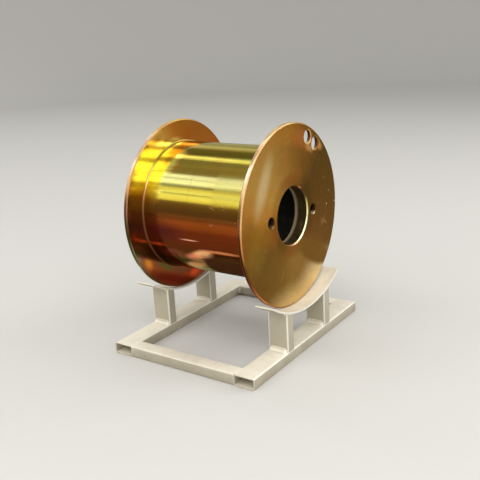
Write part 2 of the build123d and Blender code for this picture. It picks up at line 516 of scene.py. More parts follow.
def saddle(side_name, paint):
    """A saddle: a rounded section (x, thickness) carried along its arc.

    Within a corner's radius c of an end, at a distance t from it, the section narrows on each side by
    c - sqrt(c^2 - (c - t)^2), and its thickness does the same over the softer edge."""
    look = bpy.context.scene.cradle_look
    width, thick = SADDLE_SIZE[0], look.saddle_thickness
    middle_radius = look.saddle_radius + thick / 2
    half_arc = math.asin(SADDLE_SIZE[1] / 2 / (look.saddle_radius + thick))
    corner, soft = look.saddle_corner, look.saddle_softness
    ends = corner * (1 - np.cos(np.linspace(0, math.pi / 2, SADDLE_END_POINTS))) / middle_radius
    inside = np.linspace(ends[-1], 2 * half_arc - ends[-1], SADDLE_POINTS)[1:-1]
    arc = np.concatenate([ends, inside, (2 * half_arc - ends)[::-1]]) - half_arc
    from_end = (half_arc - np.abs(arc)) * middle_radius

    def inset(radius):
        left = np.clip(radius - from_end, 0, radius)
        return radius - np.sqrt(radius**2 - left**2)

    section = rounded_loops(width, thick, soft, np.zeros(1))[0]
    across = section[:, 0] * (1 - 2 * inset(corner) / width)[:, None]
    deep = section[:, 1] * (1 - 2 * inset(soft) / thick)[:, None]
    y, z = saddle_place(arc[:, None], middle_radius + deep, look)
    points = np.stack([across + SIDES[side_name] * BEAM_X, y, z], -1)
    shell = Shell()
    shell.add(points, grid_faces(*points.shape[:2], close_columns=True))
    for end in (0, -1):
        shell.add(points[end], [list(range(points.shape[1]))])
    return shell.piece(f"{side_name}_saddle_plate", [paint], "white_paint", [f"{side_name}_saddle"])


def bead(shell, start, end, first, second, out, leg, bulge, depth=0.1):
    """A weld bead from start to end: its section runs from leg along first to leg along second.

    At a share t of the section, the skin is bulge leg sin(pi t) further out. The bead swells and shrinks by
    |cos(pi w / pitch)| along its length w, each ripple bowed forward across the section, and it narrows to
    a rounded nose within one leg of both ends. A last point under the skin closes the section."""
    look = bpy.context.scene.cradle_look
    start, end, first, second, out = (np.asarray(value, float) for value in (start, end, first, second, out))
    length = np.linalg.norm(end - start)
    forward = (end - start) / length
    ripples = max(1, round(length / look.ripple_pitch))
    pitch = length / ripples
    t = np.linspace(0, 1, BEAD_POINTS)
    arch = np.sin(math.pi * t)
    w = np.linspace(0, length, ripples * RIPPLE_STEPS + 1)[:, None]
    ripple = 1 - depth + depth * np.abs(np.cos(math.pi * (w / pitch - RIPPLE_BOW * arch)))
    from_end = np.clip(np.minimum(w, length - w) / leg, 0, 1)
    size = leg * ripple * np.sqrt(1 - NOSE_SHARE * (1 - from_end) ** 2)
    reach = (1 - t)[:, None] * first + t[:, None] * second + bulge * arch[:, None] * out
    middle = start + w * forward
    skin = middle[:, None] + size[..., None] * reach
    points = np.concatenate([skin, (middle - ROOT_SHARE * leg * out)[:, None]], 1)
    shell.add(points, grid_faces(*points.shape[:2], close_columns=True))
    for last in (0, -1):
        shell.add(points[last], [list(range(points.shape[1]))])


def bead_piece(shell, name, paint, nodes=()):
    """A piece made of beads, whose ripples stay smooth."""
    shell.piece(name, [paint], "white_paint", nodes, BEAD_SHARP_DEGREES)


def underside(y):
    """Height of a saddle's underside, less the root gap, at a distance y from the middle."""
    look = bpy.context.scene.cradle_look
    radius = look.saddle_radius + look.saddle_thickness
    return SADDLE_LOW[2] + radius - np.sqrt((radius + look.cope_gap) ** 2 - y**2)


def cross_beam(side_name, paint):
    """A cross beam: a plain tube that lies from front to rear under a flange."""
    tube(
        f"{side_name}_beam_tube", [f"{side_name}_cross_beam"], (SIDES[side_name] * BEAM_X, 0, BEAM_TOP / 2),
        (0, 2, 1), (BEAM_SIZE[0], BEAM_SIZE[2]), BEAM_SIZE[1], [paint],
    )


def rail(row_name, paint):
    """A rail: a plain tube that joins the cross beams."""
    tube(
        f"{row_name}_rail_tube", [f"{row_name}_rail"], (0, ROWS[row_name] * RAIL_Y, BEAM_TOP / 2),
        (1, 2, 0), (RAIL_SIZE[1], RAIL_SIZE[2]), RAIL_SIZE[0], [paint],
    )


def post(side_name, row_name, paint):
    """A post: a tube whose upper end is cut to the underside of the saddle."""
    post_y = ROWS[row_name] * POST_Y
    length = POST_HIGH[2] - BEAM_TOP
    middle = BEAM_TOP + length / 2
    tube(
        f"{side_name}_{row_name}_post_tube", [f"{side_name}_{row_name}_post"],
        (SIDES[side_name] * BEAM_X, post_y, middle), (0, 1, 2), POST_SIZE[:2], length, [paint],
        top=lambda u, v: underside(v + post_y) - middle,
    )


def post_beads(side_name, row_name, paint):
    """The weld beads before and behind a post: at its foot, and under the saddle."""
    look = bpy.context.scene.cradle_look
    x, half = SIDES[side_name] * BEAM_X, WELD_SIZE[0] / 2
    for toward_name, toward in ROWS.items():
        y = ROWS[row_name] * POST_Y + toward * POST_SIZE[1] / 2
        foot, up = np.array([0, toward, 0]), np.array([0, 0, 1])
        shell = Shell()
        start, end = (x - half, y, BEAM_TOP), (x + half, y, BEAM_TOP)
        bead(shell, start, end, foot, up, foot + up, WELD_SIZE[2], bulge=-0.16, depth=0.03)
        name = f"{side_name}_{row_name}_post_{toward_name}"
        bead_piece(shell, name + "_bead", paint, [name + "_weld"])
        slope = math.asin(y / (look.saddle_radius + look.saddle_thickness))
        under = toward * np.array([0, math.cos(slope), math.sin(slope)])
        start, end = (x - half, y, underside(y)), (x + half, y, underside(y))
        shell = Shell()
        bead(shell, start, end, under, -up, under - up, look.seam_leg, bulge=0.1)
        bead_piece(shell, name + "_saddle_bead", paint)


def frame_beads(side_name, row_name, paint):
    """The beads where a rail meets a cross beam: one in the inner corner, and a flat one over the top."""
    look = bpy.context.scene.cradle_look
    side, row = SIDES[side_name], ROWS[row_name]
    x, near, far = side * RAIL_HIGH[0], row * RAIL_LOW[1], row * RAIL_HIGH[1]
    along, inward, up = np.array([-side, 0, 0]), np.array([0, -row, 0]), np.array([0, 0, 1])
    shell = Shell()
    low, high = look.tube_corner, BEAM_TOP - look.tube_corner
    start, end = (x, near, low), (x, near, high)
    bead(shell, start, end, along, inward, along + inward, look.seam_leg, bulge=0.05)
    edge, top = row * look.tube_corner, BEAM_TOP - look.tube_corner * 0.1
    start, end, flat = (x, near + edge, top), (x, far - edge, top), np.array([1, 0, 0])
    bead(shell, start, end, -flat, flat, up, look.seam_leg, bulge=0.16, depth=0.06)
    bead_piece(shell, f"{side_name}_{row_name}_corner_bead", paint)


# Parts of a material
def is_socket(value):
    return isinstance(value, bpy.types.NodeSocket)


def add_node(tree, kind, inputs=None, **settings):
    """A node with its settings. inputs gives a socket's value, or the output that feeds it."""
    new = tree.nodes.new("ShaderNode" + kind)
    for name, value in settings.items():
        setattr(new, name, value)
    for key, value in (inputs or {}).items():
        if is_socket(value):
            tree.links.new(value, new.inputs[key])
        else:
            new.inputs[key].default_value = value
    return new


def maths(tree, operation, *values, clamp=False):
    return add_node(tree, "Math", dict(enumerate(values)), operation=operation, use_clamp=clamp).outputs[0]


def product(tree, first, *others):
    """The product of several values."""
    for other in others:
        first = maths(tree, "MULTIPLY", first, other)
    return first


def raised(tree, value, *parts):
    """A value plus each part's mask times its rise."""
    for mask, rise in parts:
        value = maths(tree, "MULTIPLY_ADD", mask, rise, value)
    return value


def swayed(tree, value, cloud, reach):
    """A value moved by reach (cloud - 0.5)."""
    return raised(tree, value, (maths(tree, "SUBTRACT", cloud, 0.5), reach))


def vector_maths(tree, operation, *values, output="Vector"):
    return add_node(tree, "VectorMath", dict(enumerate(values)), operation=operation).outputs[output]


def combined(tree, x=0.0, y=0.0, z=0.0):
    return add_node(tree, "CombineXYZ", {"X": x, "Y": y, "Z": z}).outputs[0]


def separated(tree, vector):
    return add_node(tree, "SeparateXYZ", {0: vector}).outputs


def fade(tree, value, start, end, low=0.0, high=1.0):
    """A smooth step: low up to start, high from end on."""
    keys = ("Value", "From Min", "From Max", "To Min", "To Max")
    inputs = dict(zip(keys, (value, start, end, low, high)))
    return add_node(tree, "MapRange", inputs, interpolation_type="SMOOTHSTEP").outputs["Result"]


def area(tree, *limits):
    """A mask with soft borders: the product of fades, each given as its value, start and end."""
    return product(tree, *(fade(tree, *limit) for limit in limits))


def mixed(tree, share, first, second, how="MIX"):
    """Two colours mixed. A colour is an output, or three linear shares."""
    first, second = (value if is_socket(value) else (*value, 1) for value in (first, second))
    inputs = {0: share, 6: first, 7: second}
    return add_node(tree, "Mix", inputs, data_type="RGBA", blend_type=how).outputs[2]


def stained(tree, tone, mask, share, screen):
    """A tone under a share of a screen colour, where the mask is."""
    return mixed(tree, product(tree, mask, share), tone, linear(screen))


def noise(tree, vector, scale=1.0, detail=3.0, roughness=0.5, distortion=0.0):
    inputs = {
        "Vector": vector, "Scale": scale, "Detail": detail, "Roughness": roughness, "Distortion": distortion
    }
    return add_node(tree, "TexNoise", inputs).outputs["Fac"]


def tool_marks(tree, way, scale, drift=0.0):
    """Fine marks of a tool: noise along one measure, which a small second one lets change slowly."""
    return noise(tree, combined(tree, way, drift), scale, 2)


def colour_ramp(tree, place, stops):
    """A ramp through (place, screen colour) stops."""
    node = add_node(tree, "ValToRGB", {"Fac": place})
    elements = node.color_ramp.elements
    elements.remove(elements[1])
    for index, (position, screen) in enumerate(stops):
        element = elements.new(position) if index else elements[0]
        element.position = position
        element.color = (*linear(screen), 1)
    return node.outputs["Color"]


def turn_ramp(tree, turn, tones):
    """A ramp for an angle in whole turns, through tints at degrees from straight up towards the front.

    It ends behind with the tint that it starts with."""
    stops = [((degrees + 180) / 360, screen) for degrees, screen in (*tones, (180, tones[0][1]))]
    return colour_ramp(tree, maths(tree, "ADD", turn, 0.5), stops)


def new_group(name, inputs, outputs):
    """A node group with named sockets.

    An input is given as its name, kind and default, and an output as its name and kind."""
    tree = bpy.data.node_groups.new(name, "ShaderNodeTree")
    for label, kind, default in inputs:
        socket = tree.interface.new_socket(label, in_out="INPUT", socket_type="NodeSocket" + kind)
        socket.default_value = default
    for label, kind in outputs:
        tree.interface.new_socket(label, in_out="OUTPUT", socket_type="NodeSocket" + kind)
    given, result = tree.nodes.new("NodeGroupInput"), tree.nodes.new("NodeGroupOutput")
    return tree, given.outputs, lambda label, output: tree.links.new(output, result.inputs[label])


def place_group(tree, name, **inputs):
    """The outputs of a shared group, placed with its own values."""
    return add_node(tree, "Group", inputs, node_tree=bpy.data.node_groups[name]).outputs


def laid_over(tree, tone, screen, share, effect, **inputs):
    """A tone under a share of a screen colour, where a shared effect has its mask."""
    return stained(tree, tone, place_group(tree, effect, **inputs)["Mask"], share, screen)


def clouded(tree, vector, tone, strength, size):
    """A tone under the clouds of the passivate, as Color, and the Cloud itself."""
    return place_group(tree, "passivate", Vector=vector, Color=tone, Strength=strength, Size=size)


# Effects that finishes share
VECTOR, TURN = ("Vector", "Vector", (0, 0, 0)), ("Turn", "Vector", (0, 0, 0))
SCRATCH_SCALE = (25, 420, 25)
CLOUD_TINTS = ((255, 170, 150), (205, 240, 150))
DRIFT_AWAY = (0.37, 0.11, 0.23)


def make_drum_place():
    """Where a point lies on the drum.

    Along is x. Radius is the distance from the axis. Turn is the angle from straight up towards the front, in
    whole turns from -0.5 to 0.5. Ring is x beside the direction from the axis, and has no seam."""
    outputs = [("Along", "Float"), ("Radius", "Float"), ("Turn", "Float"), ("Ring", "Vector")]
    tree, given, give = new_group("drum place", [VECTOR], outputs)
    parts = separated(tree, given["Vector"])
    front = product(tree, parts["Y"], -1)
    up = maths(tree, "SUBTRACT", parts["Z"], AXIS_HEIGHT)
    radius = maths(tree, "SQRT", raised(tree, product(tree, up, up), (front, front)))
    out = (maths(tree, "DIVIDE", part, radius) for part in (front, up))
    give("Along", parts["X"])
    give("Radius", radius)
    give("Turn", maths(tree, "DIVIDE", maths(tree, "ARCTAN2", front, up), 2 * math.pi))
    give("Ring", combined(tree, parts["X"], *out))


def make_streaks():
    """Long streaks beside the axis: noise on x / length and on lines times the direction from the axis."""
    inputs = [("Ring", "Vector", (0, 0, 0)), ("Length", "Float", 0.3), ("Lines", "Float", 60.0)]
    tree, given, give = new_group("streaks", inputs, [("Value", "Float")])
    slow = maths(tree, "DIVIDE", 1, given["Length"])
    scale = combined(tree, slow, given["Lines"], given["Lines"])
    give("Value", noise(tree, vector_maths(tree, "MULTIPLY", given["Ring"], scale), 1, 4, 0.6))


def make_soft_spot():
    """A soft ellipse: 0 outside its size, and 1 within the inner part that the share Edge leaves."""
    inputs = [
        VECTOR, TURN, ("Place", "Vector", (0, 0, 0)), ("Size", "Vector", (1, 1, 1)),
        ("Ragged", "Float", 0.15), ("Edge", "Float", 0.85),
    ]
    tree, given, give = new_group("soft spot", inputs, [("Mask", "Float")])
    keys = {"Vector": "Vector", "Location": "Place", "Rotation": "Turn", "Scale": "Size"}
    linked = {key: given[label] for key, label in keys.items()}
    local = add_node(tree, "Mapping", linked, vector_type="TEXTURE").outputs[0]
    distance = vector_maths(tree, "LENGTH", local, output="Value")
    reach = product(tree, given["Ragged"], 4)
    ragged = swayed(tree, distance, noise(tree, given["Vector"], 60), reach)
    give("Mask", fade(tree, ragged, 1, maths(tree, "SUBTRACT", 1, given["Edge"])))


def make_scratches():
    """Fine scratches: thin ridges of stretched noise, kept only inside scattered patches."""
    inputs = [VECTOR, TURN, ("Share", "Float", 0.4)]
    tree, given, give = new_group("scratches", inputs, [("Mask", "Float")])
    turned = add_node(tree, "Mapping", {
        "Vector": given["Vector"], "Rotation": given["Turn"], "Scale": SCRATCH_SCALE
    }, vector_type="POINT").outputs[0]
    away = maths(tree, "ABSOLUTE", maths(tree, "SUBTRACT", noise(tree, turned, 1, 2, 0.4, 0.3), 0.5))
    line = fade(tree, away, 0.012, 0.002)
    patch = noise(tree, given["Vector"], 45, 2)
    edge = maths(tree, "SUBTRACT", 0.75, product(tree, given["Share"], 0.4))
    give("Mask", product(tree, line, fade(tree, patch, edge, maths(tree, "ADD", edge, 0.06))))


def make_specks():
    """Scattered specks: the middles of the few cells whose random tone is below Share."""
    inputs = [VECTOR, ("Cells", "Float", 90.0), ("Size", "Float", 0.12), ("Share", "Float", 0.1)]
    tree, given, give = new_group("specks", inputs, [("Mask", "Float")])
    cells = add_node(tree, "TexVoronoi", {"Vector": given["Vector"], "Scale": given["Cells"]}).outputs
    chance = separated(tree, cells["Color"])["X"]
    near = fade(tree, cells["Distance"], given["Size"], product(tree, given["Size"], 0.5))
    give("Mask", product(tree, near, maths(tree, "LESS_THAN", chance, given["Share"])))


def make_passivate():
    """The cloudy tints of yellow passivate: rose and green drift over the base colour."""
    inputs = [VECTOR, ("Color", "Color", (1, 1, 1, 1)), ("Strength", "Float", 0.3), ("Size", "Float", 0.05)]
    tree, given, give = new_group("passivate", inputs, [("Color", "Color"), ("Cloud", "Float")])
    scale = maths(tree, "DIVIDE", 1, given["Size"])
    aside = vector_maths(tree, "ADD", given["Vector"], DRIFT_AWAY)
    clouds = [noise(tree, place, scale, 4, 0.55, 0.4) for place in (given["Vector"], aside)]
    tone = given["Color"]
    for cloud, screen in zip(clouds, CLOUD_TINTS):
        share = product(tree, fade(tree, cloud, 0.5, 0.72), given["Strength"])
        tone = mixed(tree, share, tone, linear(screen), "MULTIPLY")
    give("Color", tone)
    give("Cloud", clouds[0])


SHARED_EFFECTS = (make_drum_place, make_streaks, make_soft_spot, make_scratches, make_specks, make_passivate)


# Finishes
def finish(name, make, *values, **settings):
    """The finish of that name. When a piece first asks for it, make fills its tree, on object coordinates."""
    material = bpy.data.materials.get(name)
    if not material:
        material = bpy.data.materials.new(name)
        material.use_nodes = True
        tree = material.node_tree
        tree.nodes.clear()
        make(tree, add_node(tree, "TexCoord").outputs["Object"], *values, **settings)
    return material


def surface(tree, colour, roughness, metallic=1.0, height=None, depth=0.1 * MM, glance=(1, 1, 1), shine=0.5):
    """The shader and the output of a finish.

    height, an output, is raised by depth. glance is the tint that a metal takes on at a glancing view, and
    shine the specular level of what isn't metal."""
    inputs = {
        "Base Color": colour if is_socket(colour) else (*colour, 1), "Roughness": roughness,
        "Metallic": metallic, "Specular Tint": (*glance, 1), "Specular IOR Level": shine,
    }
    if height:
        bump = add_node(tree, "Bump", {"Height": height, "Distance": depth, "Strength": 1.0})
        inputs["Normal"] = bump.outputs[0]
    shader = add_node(tree, "BsdfPrincipled", inputs)
    add_node(tree, "OutputMaterial", {"Surface": shader.outputs[0]})


def spotted(tree, vector, tone, spots):
    """A tone with soft spots laid over it.

    A spot is given as its place, how ragged and how soft it is, its share and its screen colour."""
    for spot, ragged, edge, share, screen in spots:
        where = {"Vector": vector, "Ragged": ragged, "Edge": edge, **spot}
        tone = laid_over(tree, tone, screen, share, "soft spot", **where)
    return tone


# Tints of single marks and areas, among them painted reflections, painted shade and painted highlights
PALE_END_REFLECTION, PALEST_END_REFLECTION, UNDERSIDE_SHADE = (250, 243, 122), (255, 252, 222), (71, 39, 22)
BARREL_SCRATCH, FACE_SCRATCH, FACE_SPECK = (225, 195, 140), (225, 190, 130), (230, 200, 150)
FACE_BORE_SHADE, LIT_BARE_HUB = (227, 214, 200), (184, 162, 128)
PAINT_EDGE_HIGHLIGHT, PAINT_CHIP = (250, 245, 232), (96, 84, 70)

# Streaks as their length in metres and how many lines they have, and the stretch of the paint's drips
STREAKS, FINE_STREAKS = (0.45, 40.0), (0.12, 220.0)
DRIP_SCALE = (90, 90, 9)

# Where the paler band in a hub ring, partly bare turned metal and partly painted light, starts and is full,
# from the ring's inner end
LIT_BARE_BAND = (13 * MM, 5 * MM)

# Place of the scored ring along the barrel, and how deep a soft spot reaches into it
RING_X, SPOT_DEPTH = -23 * MM, 30 * MM

# Tints of the barrel at degrees from straight up, the same to the front and to the rear: partly the
# passivate's own tint, partly painted reflections, with pale and dark bands above and a painted dark red to
# black lower half where shade would be reflected
BARREL_TINTS_AND_REFLECTIONS = (
    (0, (230, 216, 156)), (5, (216, 196, 130)), (10, (178, 160, 94)), (13, (164, 142, 74)),
    (16, (122, 100, 38)), (19, (118, 98, 32)), (25, (116, 98, 30)), (28.5, (180, 170, 80)),
    (33, (148, 132, 52)), (40, (182, 152, 62)), (46, (164, 136, 54)), (50, (168, 164, 106)),
    (57, (172, 168, 102)), (61, (152, 136, 48)), (65, (174, 164, 66)), (71, (168, 148, 48)),
    (74, (158, 112, 42)), (80, (138, 92, 40)), (86, (120, 62, 24)), (89, (156, 76, 28)),
    (93, (146, 68, 24)), (97, (118, 48, 20)), (107, (116, 46, 20)), (112, (104, 40, 18)),
    (118, (86, 36, 18)), (124, (70, 32, 16)), (132, (46, 22, 11)), (140, (24, 14, 8)), (148, (50, 38, 28)),
    (180, (84, 64, 38)),
)


def on_barrel(x, degrees, half_length, half_width, swing=0):
    """Place, turn and size of a soft spot on the barrel, at x and degrees from straight up towards the front.

    swing turns it about the surface's own normal, in degrees."""
    turn = math.radians(degrees)
    radius = BARREL_SIZE[2] / 2
    place = (x, -radius * math.sin(turn), AXIS_HEIGHT + radius * math.cos(turn))
    tilted = Matrix.Rotation(turn, 3, "X") @ Matrix.Rotation(math.radians(swing), 3, "Z")
    return {"Place": place, "Turn": tuple(tilted.to_euler()), "Size": (half_length, half_width, SPOT_DEPTH)}


# Painted reflections and highlights, painted dark patches, and stains on the barrel
BARREL_REFLECTIONS_AND_STAINS = (
    (on_barrel(-0.105, 100, 0.090, 0.040), 0.08, 0.85, 0.75, (80, 28, 32)),
    (on_barrel(-0.124, 90, 0.05, 0.020), 0.1, 0.85, 0.6, (84, 42, 24)),
    (on_barrel(-0.086, 41, 0.022, 0.024), 0.1, 0.8, 0.6, (214, 140, 44)),
    (on_barrel(-0.086, 27, 0.022, 0.018), 0.1, 0.85, 0.75, (236, 172, 60)),
    (on_barrel(-0.106, 65.6, 0.022, 0.006), 0.05, 0.95, 0.45, (250, 220, 110)),
    (on_barrel(-0.085, 123, 0.050, 0.022, 10), 0.1, 0.7, 0.7, (150, 66, 58)),
    (on_barrel(0.002, 118.6, 0.042, 0.017, 15), 0.03, 0.62, 1.0, (255, 188, 140)),
    (on_barrel(-0.030, 123.0, 0.034, 0.015, 14), 0.05, 0.95, 0.9, (236, 138, 120)),
    (on_barrel(0.060, 113.2, 0.062, 0.0055), 0.02, 0.6, 0.8, (236, 144, 100)),
    (on_barrel(-0.022, 104.6, 0.034, 0.0028), 0.02, 0.85, 1.0, (255, 186, 150)),
    (on_barrel(-0.045, 138, 0.065, 0.022, 32), 0.1, 0.6, 0.9, (240, 176, 138)),
    (on_barrel(-0.122, 113.5, 0.034, 0.007), 0.1, 0.8, 0.8, (250, 120, 70)),
    (on_barrel(0.042, 74.6, 0.007, 0.0011, -20), 0.02, 0.6, 0.8, (240, 214, 130)),
    (on_barrel(0.049, 75.6, 0.003, 0.0010, 50), 0.02, 0.6, 0.8, (240, 214, 130)),
)


def barrel_zinc(tree, vector):
    """Polished passivate whose tint, partly a painted reflection, changes round the barrel, drawn out along
    its axis.

    Its end near the left flange is paler above, a painted reflection of the flange's gold glow, and duller
    below, a band is rubbed, a fine ring is scored round it, and part of its underside is painted dark brown
    as shade, and dull."""
    look = bpy.context.scene.drum_look
    place = place_group(tree, "drum place", Vector=vector)
    along, turn = place["Along"], place["Turn"]
    streak, fine = (
        place_group(tree, "streaks", Ring=place["Ring"], Length=length, Lines=lines)["Value"]
        for length, lines in (STREAKS, FINE_STREAKS)
    )
    half_turns = product(tree, maths(tree, "ABSOLUTE", turn), 2)
    stops = [(degrees / 180, screen) for degrees, screen in BARREL_TINTS_AND_REFLECTIONS]
    tone = colour_ramp(tree, swayed(tree, half_turns, streak, 0.035), stops)
    tone = spotted(tree, vector, tone, BARREL_REFLECTIONS_AND_STAINS)

    # Painted reflection: the pale gold glow of the left flange on the barrel's end near it, which reaches a
    # little further lower down
    lower = fade(tree, half_turns, 0.25, 0.29, 0, 0.018)
    glow_end = fade(tree, maths(tree, "ADD", swayed(tree, along, streak, 0.03), lower), -0.076, -0.1)
    end = product(tree, glow_end, area(tree, (half_turns, 0.35, 0.31), (turn, -0.02, 0.005)))
    pale = mixed(tree, fade(tree, half_turns, 0.12, 0.06), linear(PALE_END_REFLECTION), linear(PALEST_END_REFLECTION))
    tone = mixed(tree, product(tree, end, 0.9), tone, pale)
    dull = product(tree, glow_end, fade(tree, half_turns, 0.33, 0.38))

    # The rubbed band and the scored ring
    rubbed = area(tree, (half_turns, 0.43, 0.40), (half_turns, 0.22, 0.25), (along, 0.038, 0.044))
    from_ring = maths(tree, "ABSOLUTE", maths(tree, "SUBTRACT", along, RING_X))
    ring = area(tree, (from_ring, 0.0011, 0.0004), (half_turns, 0.47, 0.44))
    shade = raised(tree, fade(tree, fine, 0.3, 0.7, 0.84, 1.1), (ring, -0.2))
    grey = add_node(tree, "CombineColor", {0: shade, 1: shade, 2: shade}).outputs[0]
    tone = clouded(tree, vector, mixed(tree, 1, tone, grey, "MULTIPLY"), 0.25, 0.09)["Color"]
    scratch = place_group(tree, "scratches", Vector=vector, Turn=(0.4, 0.3, 1.2), Share=0.25)["Mask"]
    colour = stained(tree, tone, scratch, 0.3, BARREL_SCRATCH)
    parts = ((fine, 0.06), (scratch, 0.15), (rubbed, 0.07), (dull, 0.2))
    roughness = raised(tree, look.barrel_roughness - 0.03, *parts)

    # Painted shade: the dark brown, dull underside near the right flange, where the shadowed floor would be
    # reflected
    under = area(tree, (turn, 0.32, 0.354), (turn, 0.48, 0.43), (along, -0.014, 0.004))
    colour = mixed(tree, under, colour, linear(UNDERSIDE_SHADE))
    surface(tree, colour, roughness, raised(tree, 1.0, (under, -0.95)), fine, 0.004 * MM, look.glance, 0.0)


def barrel_inside(tree, vector):
    """The barrel's dull inner wall, painted nearly black as the shade inside the hollow barrel."""
    cloud = noise(tree, vector, 35, 5, 0.6)
    colour = colour_ramp(tree, cloud, [(0.3, (22, 20, 15)), (0.55, (38, 35, 28)), (0.75, (66, 60, 48))])
    surface(tree, colour, raised(tree, 0.5, (cloud, 0.3)), 0.2, cloud, 0.2 * MM)


# Tints of a flange's outer face at degrees from straight up, positive towards the front: mostly a painted
# reflection, the sheen of a turned face, gold towards the front and dark brown towards the rear
FACE_SHEEN_TONES = (
    (-180, (146, 106, 54)), (-160, (148, 105, 58)), (-140, (126, 77, 40)), (-120, (102, 58, 32)),
    (-95, (96, 52, 27)), (-70, (87, 48, 26)), (-50, (83, 48, 26)), (-35, (98, 59, 28)),
    (-15, (136, 86, 36)), (5, (148, 102, 46)), (30, (172, 130, 66)), (60, (182, 138, 66)),
    (80, (180, 122, 54)), (96, (144, 93, 34)), (108, (126, 81, 32)), (125, (110, 75, 34)),
    (150, (126, 87, 40)),
)


def on_face(y, z, half_length, half_width, degrees=0, x=OUTER_X, depth=0.01):
    """Place, turn and size of a soft spot on the right flange, y and z from the axis, turned from level."""
    return {
        "Place": (x, y, AXIS_HEIGHT + z), "Turn": (math.radians(degrees), 0, 0),
        "Size": (depth, half_length, half_width),
    }


# Painted sheen and highlights and a painted reflection of the saddle low at the rear, with stains, scratches
# and specks on the right flange
FACE_SHEEN_AND_STAINS = (
    (on_face(-0.112, 0.086, 0.090, 0.028, 62), 0.02, 0.85, 0.75, (214, 188, 140)),
    (on_face(0.048, 0.160, 0.085, 0.030, -22), 0.2, 0.85, 0.7, (180, 98, 48)),
    (on_face(0.078, 0.135, 0.030, 0.012, -35), 0.2, 0.85, 0.6, (220, 160, 100)),
    (on_face(0.072, 0.150, 0.016, 0.006, -40), 0.1, 0.7, 0.7, (240, 190, 130)),
    (on_face(0.120, 0.138, 0.030, 0.014, -41), 0.1, 0.85, 0.8, (226, 160, 92)),
    (on_face(-0.078, -0.030, 0.024, 0.034), 0.15, 0.85, 0.5, (158, 84, 46)),
    (on_face(-0.010, -0.078, 0.055, 0.018, 8), 0.2, 0.85, 0.45, (146, 74, 38)),
    (on_face(-0.016, 0.078, 0.05, 0.018, 10), 0.2, 0.85, 0.6, (136, 76, 38)),
    (on_face(0.135, -0.045, 0.030, 0.016, 35), 0.3, 0.85, 0.4, (134, 78, 50)),
    (on_face(-0.01, -0.205, 0.19, 0.070), 0.03, 0.85, 1.0, (212, 180, 126)),
    (on_face(0.118, -0.168, 0.125, 0.075), 0.03, 0.95, 1.0, (248, 220, 170)),
    (on_face(0.125, -0.165, 0.035, 0.030), 0.03, 0.9, 0.8, (246, 232, 204)),
    (on_face(0.0902, -0.1064, 0.106, 0.033, -28), 0.02, 0.45, 1.0, (118, 75, 36)),
    (on_face(-0.030, 0.182, 0.11, 0.040), 0.1, 0.85, 0.5, (188, 124, 46)),
    (on_face(-0.150, -0.050, 0.05, 0.06), 0.2, 0.85, 0.4, (140, 112, 46)),
    (on_face(-0.054, -0.121, 0.021, 0.0012, 63), 0.02, 0.7, 0.4, (214, 176, 116)),
    (on_face(0.132, -0.046, 0.012, 0.0018, 38), 0.05, 0.6, 0.6, (206, 150, 116)),
    (on_face(0.146, -0.050, 0.010, 0.0018, -48), 0.05, 0.6, 0.6, (206, 150, 116)),
    (on_face(0.142, 0.056, 0.004, 0.0012, -20), 0.02, 0.6, 0.6, (214, 170, 130)),
    (on_face(0.166, 0.021, 0.007, 0.0012, -24), 0.02, 0.6, 0.5, (214, 170, 130)),
    (on_face(0.1535, -0.0085, 0.0022, 0.0022), 0.0, 0.6, 1.0, (255, 246, 214)),
    (on_face(0.1925, -0.0105, 0.0022, 0.0022), 0.0, 0.6, 1.0, (255, 246, 214)),
)


def turned_face(tree, vector, spots):
    """A turned flange face: satin passivate whose tint, largely a painted sheen, changes round it, with
    painted shade near the bore and fine rings from the tool.
    """
    look = bpy.context.scene.drum_look
    place = place_group(tree, "drum place", Vector=vector)
    cloud = noise(tree, vector, 14)
    tone = turn_ramp(tree, swayed(tree, place["Turn"], cloud, 0.1), FACE_SHEEN_TONES)
    # Painted shade: the face darkens towards the bore
    tone = mixed(tree, fade(tree, place["Radius"], 0.1, 0.075), tone, linear(FACE_BORE_SHADE), "MULTIPLY")
    tone = clouded(tree, vector, tone, 0.2, 0.06)["Color"]
    tone = spotted(tree, vector, tone, spots)
    scratches = {"Vector": vector, "Turn": (0.9, 0, 0), "Share": 0.35}
    tone = laid_over(tree, tone, FACE_SCRATCH, 0.3, "scratches", **scratches)
    specks = {"Vector": vector, "Cells": 70.0, "Size": 0.1, "Share": 0.04}
    tone = laid_over(tree, tone, FACE_SPECK, 0.5, "specks", **specks)
    rings = tool_marks(tree, place["Radius"], 1400, product(tree, place["Turn"], 0.002))
    roughness = raised(tree, look.face_roughness - 0.03, (rings, 0.06), (cloud, 0.06))
    surface(tree, tone, roughness, 1.0, rings, 0.006 * MM, look.glance)


